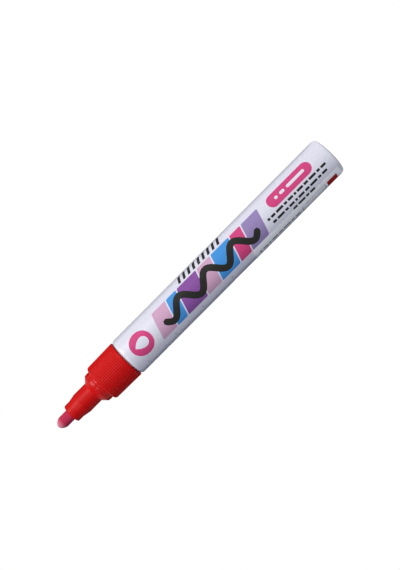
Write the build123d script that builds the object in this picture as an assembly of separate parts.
from build123d import *
import math
import os

os.makedirs("parts", exist_ok=True)

# Paint marker with a sprung valve behind its nib. Millimetres, +Z from the flat base to the nib's tip.
# The middle of the printed side faces -Y.

# Barrel: aluminium can with a threaded neck
barrel_diameter = 15.0
barrel_length = 98.1
barrel_wall = 0.45
base_thickness = 1.2
base_edge_radius = 0.8
barrel_shoulder_radius = 1.3
neck_wall = 0.6

# Thread between the neck and the front section, right-handed
thread_pitch = 2.0
thread_turns = 2
thread_height = 0.42
thread_root_width = 1.0
thread_crest_width = 0.45
thread_clearance = 0.18
thread_end_margin = 0.8
thread_sink = 0.2

# Label stuck round the side of the barrel
label_length = 41.0
label_width = 20.0
label_thickness = 0.08
label_glue_thickness = 0.01
label_rear_margin = 1.3
label_start_angle = 40

# Front section: ribbed collar
collar_gap = 0.15
collar_inset = 0.12
collar_draft = 0.21
collar_length = 12.2
collar_front_radius = 1.0
collar_rear_radius = 0.2
collar_wall = 1.0
collar_roof = 1.6
rib_count = 60
rib_depth = 0.14
rib_flute_radius = 0.27
rib_rear_margin = 1.1

# Front section: cap seat with its snap bead, cone and nose
cap_seat_diameter = 11.86
cap_seat_length = 2.0
cap_seat_edge_radius = 0.4
cap_bead_height = 0.09
cap_bead_width = 0.8
cap_bead_offset = 0.5
cap_seat_wall = 1.6
cone_length = 1.8
cone_foot_radius = 0.5
nose_diameter = 8.1
nose_body_length = 5.5
nose_taper_length = 2.8
nose_tip_diameter = 7.05
nose_tip_length = 2.5
nose_tip_radius = 0.55
nose_mouth_chamfer = 0.2
paint_chamber_height = 3.1

# Nib: round fibre rod with an ogive end
nib_diameter = 4.3
nib_clearance = 0.1
nib_protrusion = 6.2
nib_tip_radius = 1.2
nib_flank_radius = 3.2
nib_rear_chamfer = 0.3
nib_travel = 2.0
nib_rest_gap = 0.4

# Valve housing and its gasket
housing_flange_thickness = 1.0
housing_plate_thickness = 1.2
housing_roof_gap = 0.05
housing_clearance = 0.15
housing_wall = 0.7
housing_length = 16.5
window_count = 3
window_width = 2.2
window_length = 6.0
window_rear_margin = 3.6
gasket_thickness = 0.6
gasket_gap = 0.02
gasket_clearance = 0.05

# Valve seat, stem, spring and spring retainer
# The openings and the stem keep their shares of the housing's bore, so that paint can always pass
seat_thickness = 1.0
seat_hole_share = 0.45
seat_flare_share = 0.2
seat_gap = 0.05
seat_fit = 0.01
stem_shank_share = 0.3
stem_land_length = 0.6
stem_flange_thickness = 0.8
stem_flange_clearance = 0.3
stem_tail_share = 0.28
stem_tail_reach = 0.6
stem_tail_chamfer = 0.3
spring_wire_diameter = 0.5
spring_turns = 7
spring_clearance = 0.5
spring_seat_gap = 0.02
retainer_thickness = 2.0
retainer_inset = 0.4
retainer_fit = 0.02
retainer_bead_height = 0.12
retainer_bead_width = 0.8
retainer_guide_clearance = 0.08
retainer_hole_count = 4
retainer_hole_share = 0.62

# Mixing ball
ball_diameter = 6.0
ball_rest_gap = 0.02

# One overrun for every cut
cut_overrun = 1.0

# Radii worked out from the outside in
barrel_radius = barrel_diameter / 2
collar_rear = barrel_radius - collar_inset
collar_front = collar_rear - collar_draft
socket_radius = collar_front - rib_depth - collar_wall
socket_crest_radius = socket_radius - thread_height
neck_radius = socket_crest_radius - thread_clearance
neck_crest_radius = neck_radius + thread_height
neck_bore_radius = neck_radius - neck_wall
housing_radius = neck_bore_radius - housing_clearance
housing_bore_radius = housing_radius - housing_wall
spring_outer_radius = housing_bore_radius - spring_clearance
spring_mean_radius = spring_outer_radius - spring_wire_diameter / 2
spring_inner_radius = spring_outer_radius - spring_wire_diameter
stem_shank_radius = housing_bore_radius * stem_shank_share
stem_tail_radius = housing_bore_radius * stem_tail_share
seat_hole_radius = housing_bore_radius * seat_hole_share
seat_mouth_radius = seat_hole_radius + housing_bore_radius * seat_flare_share
nib_radius = nib_diameter / 2
nib_bore_radius = nib_radius + nib_clearance
cap_seat_radius = cap_seat_diameter / 2
chamber_radius = cap_seat_radius - cap_seat_wall
nose_radius = nose_diameter / 2
nose_tip_end_radius = nose_tip_diameter / 2

# Heights worked out from the base up
collar_base = barrel_length + collar_gap
collar_top = collar_base + collar_length
cap_seat_top = collar_top + cap_seat_length
nose_base = cap_seat_top + cone_length
nose_shoulder = nose_base + nose_body_length
nose_step = nose_shoulder + nose_taper_length
nose_top = nose_step + nose_tip_length
socket_top = collar_top - collar_roof
housing_top = socket_top - housing_roof_gap
housing_bottom = housing_top - housing_length
flange_bottom = housing_top - housing_flange_thickness
plate_bottom = housing_top - housing_plate_thickness
gasket_bottom = flange_bottom - gasket_thickness
neck_top = gasket_bottom - gasket_gap
seat_bottom = plate_bottom - seat_thickness
stem_land_top = seat_bottom - seat_gap
stem_flange_top = stem_land_top - stem_land_length
stem_flange_bottom = stem_flange_top - stem_flange_thickness
retainer_bottom = housing_bottom + retainer_inset
retainer_top = retainer_bottom + retainer_thickness
nib_rear = housing_top + nib_travel + nib_rest_gap
nib_tip = nose_top + nib_protrusion
stem_bottom = retainer_bottom - stem_tail_reach
neck_thread_base = neck_top - thread_end_margin - thread_root_width / 2 - thread_turns * thread_pitch
socket_thread_base = neck_thread_base - thread_pitch / 2


def turned(corners):
    """A solid turned about Z from (radius, height, rounding) corners."""
    points = [Vector(radius, 0, height) for radius, height, rounding in corners]
    starts = []
    ends = []
    outline = []
    for index, (radius, height, rounding) in enumerate(corners):
        corner = points[index]
        back = (points[index - 1] - corner).normalized()
        ahead = (points[(index + 1) % len(points)] - corner).normalized()
        half_angle = math.radians(back.get_angle(ahead)) / 2
        reach = rounding / math.tan(half_angle)
        starts.append(corner + back * reach)
        ends.append(corner + ahead * reach)
        if rounding:
            middle = corner + (back + ahead).normalized() * (rounding / math.sin(half_angle) - rounding)
            outline.append(ThreePointArc(starts[-1], middle, ends[-1]))
    for index in range(len(points)):
        outline.append(Line(ends[index - 1], starts[index]))
    return revolve(make_face(outline), axis=Axis.Z)


def coil_path(radius, base, pitch, turns):
    """A right-handed coil about Z from base up, in two tangent arcs for each quarter turn."""
    def place(quarter):
        angle = quarter * math.pi / 2
        return Vector(radius * math.cos(angle), radius * math.sin(angle), base + pitch * quarter / 4)

    def heading(quarter):
        angle = quarter * math.pi / 2
        rise = pitch / (2 * math.pi)
        return Vector(-radius * math.sin(angle), radius * math.cos(angle), rise).normalized()

    arcs = []
    for quarter in range(round(turns * 4)):
        start, end = place(quarter), place(quarter + 1)
        leave, arrive = heading(quarter), heading(quarter + 1)
        chord = end - start
        along = leave + arrive
        # Both arcs have tangents of one length, the positive root of a quadratic
        square = 2 - 2 * leave.dot(arrive)
        root = math.sqrt(chord.dot(along) ** 2 + square * chord.dot(chord))
        length = (root - chord.dot(along)) / square
        knot = (start + end + (leave - arrive) * length) / 2
        across = (end - arrive * length) - (start + leave * length)
        arcs.append(TangentArc(start, knot, tangent=leave))
        arcs.append(TangentArc(knot, end, tangent=across.normalized()))
    return Wire(arcs)


def thread_ridge(wall_radius, crest_radius, base):
    """One helical ridge that stands on a round wall, with its flanks carried on into the wall."""
    outward = math.copysign(1, crest_radius - wall_radius)
    foot_radius = wall_radius - outward * thread_sink
    half_crest = thread_crest_width / 2
    flank_slope = (thread_root_width - thread_crest_width) / 2 / thread_height
    half_foot = thread_root_width / 2 + flank_slope * thread_sink
    profile = make_face(Polyline(
        (foot_radius, 0, base - half_foot),
        (crest_radius, 0, base - half_crest),
        (crest_radius, 0, base + half_crest),
        (foot_radius, 0, base + half_foot),
        close=True,
    ))
    path = Helix(thread_pitch, thread_pitch * thread_turns, wall_radius, center=(0, 0, base))
    return sweep(profile, path=path, is_frenet=True)


def make_barrel():
    inner_radius = barrel_radius - barrel_wall
    inner_top = barrel_length - barrel_wall
    can = turned([
        (0, 0, 0),
        (barrel_radius, 0, base_edge_radius),
        (barrel_radius, barrel_length, barrel_shoulder_radius),
        (neck_radius, barrel_length, 0),
        (neck_radius, neck_top, 0),
        (neck_bore_radius, neck_top, 0),
        (neck_bore_radius, inner_top, 0),
        (inner_radius, inner_top, barrel_shoulder_radius - barrel_wall),
        (inner_radius, base_thickness, base_edge_radius),
        (0, base_thickness, 0),
    ])
    return can + thread_ridge(neck_radius, neck_crest_radius, neck_thread_base)


def make_side_label():
    inner_radius = barrel_radius + label_glue_thickness
    outer_radius = inner_radius + label_thickness
    top = label_rear_margin + label_length
    sweep_angle = math.degrees(label_width / barrel_radius)
    section = make_face(Polyline(
        (inner_radius, 0, label_rear_margin),
        (outer_radius, 0, label_rear_margin),
        (outer_radius, 0, top),
        (inner_radius, 0, top),
        close=True,
    ))
    # The angle starts at the middle of the printed side, which faces -Y, and grows towards -X
    return Rot(Z=-90 - label_start_angle) * revolve(section, axis=Axis.Z, revolution_arc=-sweep_angle)


def make_front_section():
    bead_base = collar_top + cap_bead_offset
    body = turned([
        (socket_radius, collar_base, 0),
        (collar_rear, collar_base, collar_rear_radius),
        (collar_front, collar_top, collar_front_radius),
        (cap_seat_radius, collar_top, 0),
        (cap_seat_radius, bead_base, 0),
        (cap_seat_radius + cap_bead_height, bead_base + cap_bead_width / 2, 0),
        (cap_seat_radius, bead_base + cap_bead_width, 0),
        (cap_seat_radius, cap_seat_top, cap_seat_edge_radius),
        (nose_radius, nose_base, cone_foot_radius),
        (nose_radius, nose_shoulder, 0),
        (nose_tip_end_radius, nose_step, 0),
        (nose_tip_end_radius, nose_top, nose_tip_radius),
        (nib_bore_radius + nose_mouth_chamfer, nose_top, 0),
        (nib_bore_radius, nose_top - nose_mouth_chamfer, 0),
        (nib_bore_radius, socket_top + paint_chamber_height, 0),
        (chamber_radius, socket_top + paint_chamber_height, 0),
        (chamber_radius, socket_top, 0),
        (socket_radius, socket_top, 0),
    ])
    flute_base = collar_base + rib_rear_margin
    flute_top = collar_top + cut_overrun
    flute_length = flute_top - flute_base
    draft_angle = math.degrees(math.atan2(collar_draft, collar_length))
    flute_offset = rib_flute_radius - rib_depth
    flute_radius = collar_rear - collar_draft * rib_rear_margin / collar_length + flute_offset
    flute = Cylinder(rib_flute_radius, flute_length, align=(Align.CENTER, Align.CENTER, Align.MIN))
    flute = Pos(flute_radius, 0, flute_base) * Rot(Y=-draft_angle) * flute
    flutes = [Rot(Z=360 * index / rib_count) * flute for index in range(rib_count)]
    return body - flutes + thread_ridge(socket_radius, socket_crest_radius, socket_thread_base)


def make_nib():
    # The tip's arc meets the flank's arc, and the flank's arc meets the rod
    centre_offset = nib_flank_radius - nib_radius
    centre_drop = math.sqrt((nib_flank_radius - nib_tip_radius) ** 2 - centre_offset ** 2)
    tip_centre = nib_tip - nib_tip_radius
    flank_centre = tip_centre - centre_drop
    lean = math.atan2(centre_drop, centre_offset)
    half_lean = lean / 2

    def flank_point(angle):
        radius = nib_flank_radius * math.cos(angle) - centre_offset
        return (radius, 0, flank_centre + nib_flank_radius * math.sin(angle))

    def tip_point(angle):
        return (nib_tip_radius * math.cos(angle), 0, tip_centre + nib_tip_radius * math.sin(angle))

    outline = [
        Polyline(
            (0, 0, nib_tip),
            (0, 0, nib_rear),
            (nib_radius - nib_rear_chamfer, 0, nib_rear),
            (nib_radius, 0, nib_rear + nib_rear_chamfer),
            (nib_radius, 0, flank_centre),
        ),
        ThreePointArc(flank_point(0), flank_point(half_lean), flank_point(lean)),
        ThreePointArc(tip_point(lean), tip_point((lean + math.pi / 2) / 2), (0, 0, nib_tip)),
    ]
    return revolve(make_face(outline), axis=Axis.Z)


def make_valve_housing():
    bead_middle = (retainer_bottom + retainer_top) / 2
    half_groove = retainer_bead_width / 2 + retainer_fit
    cage = turned([
        (seat_hole_radius, housing_top, 0),
        (seat_hole_radius, plate_bottom, 0),
        (housing_bore_radius, plate_bottom, 0),
        (housing_bore_radius, bead_middle + half_groove, 0),
        (housing_bore_radius + retainer_bead_height, bead_middle, 0),
        (housing_bore_radius, bead_middle - half_groove, 0),
        (housing_bore_radius, housing_bottom, 0),
        (housing_radius, housing_bottom, 0),
        (housing_radius, flange_bottom, 0),
        (neck_radius, flange_bottom, 0),
        (neck_radius, housing_top, 0),
    ])
    window = Box(
        housing_radius + cut_overrun, window_width, window_length,
        align=(Align.MIN, Align.CENTER, Align.MIN),
    )
    window = Pos(0, 0, housing_bottom + window_rear_margin) * window
    return cage - [Rot(Z=360 * index / window_count) * window for index in range(window_count)]


def make_valve_seat():
    outer_radius = housing_bore_radius - seat_fit
    return turned([
        (seat_hole_radius, plate_bottom, 0),
        (seat_mouth_radius, seat_bottom, 0),
        (outer_radius, seat_bottom, 0),
        (outer_radius, plate_bottom, 0),
    ])


def make_neck_gasket():
    inner_radius = housing_radius + gasket_clearance
    return turned([
        (inner_radius, gasket_bottom, 0),
        (neck_radius, gasket_bottom, 0),
        (neck_radius, flange_bottom, 0),
        (inner_radius, flange_bottom, 0),
    ])


def make_valve_stem():
    flange_radius = housing_bore_radius - stem_flange_clearance
    cone_slope = seat_thickness / (seat_mouth_radius - seat_hole_radius)
    cone_height = (seat_mouth_radius - stem_shank_radius) * cone_slope
    return turned([
        (0, stem_bottom, 0),
        (stem_tail_radius - stem_tail_chamfer, stem_bottom, 0),
        (stem_tail_radius, stem_bottom + stem_tail_chamfer, 0),
        (stem_tail_radius, stem_flange_bottom, 0),
        (flange_radius, stem_flange_bottom, 0),
        (flange_radius, stem_flange_top, 0),
        (seat_mouth_radius, stem_flange_top, 0),
        (seat_mouth_radius, stem_land_top, 0),
        (stem_shank_radius, stem_land_top + cone_height, 0),
        (stem_shank_radius, nib_rear, 0),
        (0, nib_rear, 0),
    ])


def make_valve_spring():
    base = retainer_top + spring_seat_gap + spring_wire_diameter / 2
    top = stem_flange_bottom - spring_seat_gap - spring_wire_diameter / 2
    pitch = (top - base) / spring_turns
    path = coil_path(spring_mean_radius, base, pitch, spring_turns)
    section = Plane(origin=path @ 0, z_dir=path % 0) * Circle(spring_wire_diameter / 2)
    print("spring: gap between turns", round(least_turn_gap(pitch), 3), "mm")
    return sweep(section, path=path)


def least_turn_gap(pitch, steps=720):
    """The least distance between the wire's surface on one turn and on the next, on points."""
    start = Vector(spring_mean_radius, 0, 0)
    gaps = []
    for step in range(steps // 2, steps * 3 // 2):
        turned_start = start.rotate(Axis.Z, 360 * step / steps)
        later = turned_start + Vector(0, 0, pitch * step / steps)
        gaps.append((later - start).length - spring_wire_diameter)
    return min(gaps)


def make_spring_retainer():
    rim_radius = housing_bore_radius - retainer_fit
    bead_middle = (retainer_bottom + retainer_top) / 2
    half_bead = retainer_bead_width / 2
    guide_radius = stem_tail_radius + retainer_guide_clearance
    plug = turned([
        (guide_radius, retainer_bottom, 0),
        (rim_radius, retainer_bottom, 0),
        (rim_radius, bead_middle - half_bead, 0),
        (rim_radius + retainer_bead_height, bead_middle, 0),
        (rim_radius, bead_middle + half_bead, 0),
        (rim_radius, retainer_top, 0),
        (guide_radius, retainer_top, 0),
    ])
    hole_ring_radius = (guide_radius + spring_inner_radius) / 2
    hole_radius = (spring_inner_radius - guide_radius) * retainer_hole_share / 2
    hole = Cylinder(hole_radius, retainer_thickness + 2 * cut_overrun)
    hole = Pos(hole_ring_radius, 0, bead_middle) * hole
    return plug - [Rot(Z=360 * index / retainer_hole_count) * hole for index in range(retainer_hole_count)]


def make_mixing_ball():
    return Pos(0, 0, base_thickness + ball_rest_gap + ball_diameter / 2) * Sphere(ball_diameter / 2)


pieces = {
    "barrel": make_barrel(),
    "side_label": make_side_label(),
    "front_section": make_front_section(),
    "nib": make_nib(),
    "neck_gasket": make_neck_gasket(),
    "valve_housing": make_valve_housing(),
    "valve_seat": make_valve_seat(),
    "valve_stem": make_valve_stem(),
    "valve_spring": make_valve_spring(),
    "spring_retainer": make_spring_retainer(),
    "mixing_ball": make_mixing_ball(),
}
for name, shape in pieces.items():
    export_step(shape, f"parts/{name}.step")

ball_top = base_thickness + ball_rest_gap + ball_diameter
print("tip at", round(nib_tip, 3), "mm, neck top at", round(neck_top, 3), "mm")
print("ball travel up to the pressed stem", round(stem_bottom - nib_travel - ball_top, 3), "mm")
